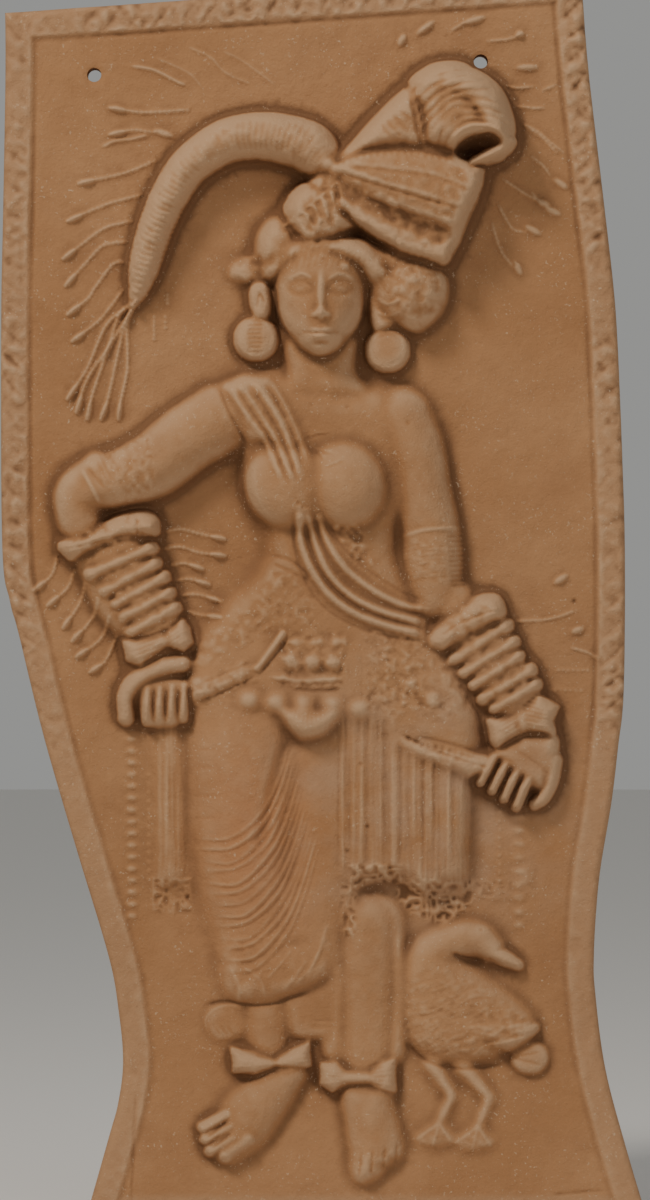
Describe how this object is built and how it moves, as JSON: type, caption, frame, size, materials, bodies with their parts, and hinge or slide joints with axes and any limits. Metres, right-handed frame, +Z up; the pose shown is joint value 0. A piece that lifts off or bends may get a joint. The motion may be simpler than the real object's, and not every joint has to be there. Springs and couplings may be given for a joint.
{
  "type": "terracotta relief plaque",
  "caption": "Moulded terracotta wall plaque: a goddess in a tall turban stands in high relief, hand on hip, a goose at her feet, on a slab pierced for hanging.",
  "frame": {"origin": "on the flat back, half way between the two hanging holes", "axes": "+Z up the plaque, +X to the right as seen from the front, +Y out of the flat back towards the wall; the relief faces -Y"},
  "size_m": [0.2911, 0.0489, 0.5619],
  "materials": {
    "terracotta": "matt fired clay, worn and dusty"
  },
  "bodies": {
    "root": {"plaque": "terracotta"}
  },
  "joints": []
}
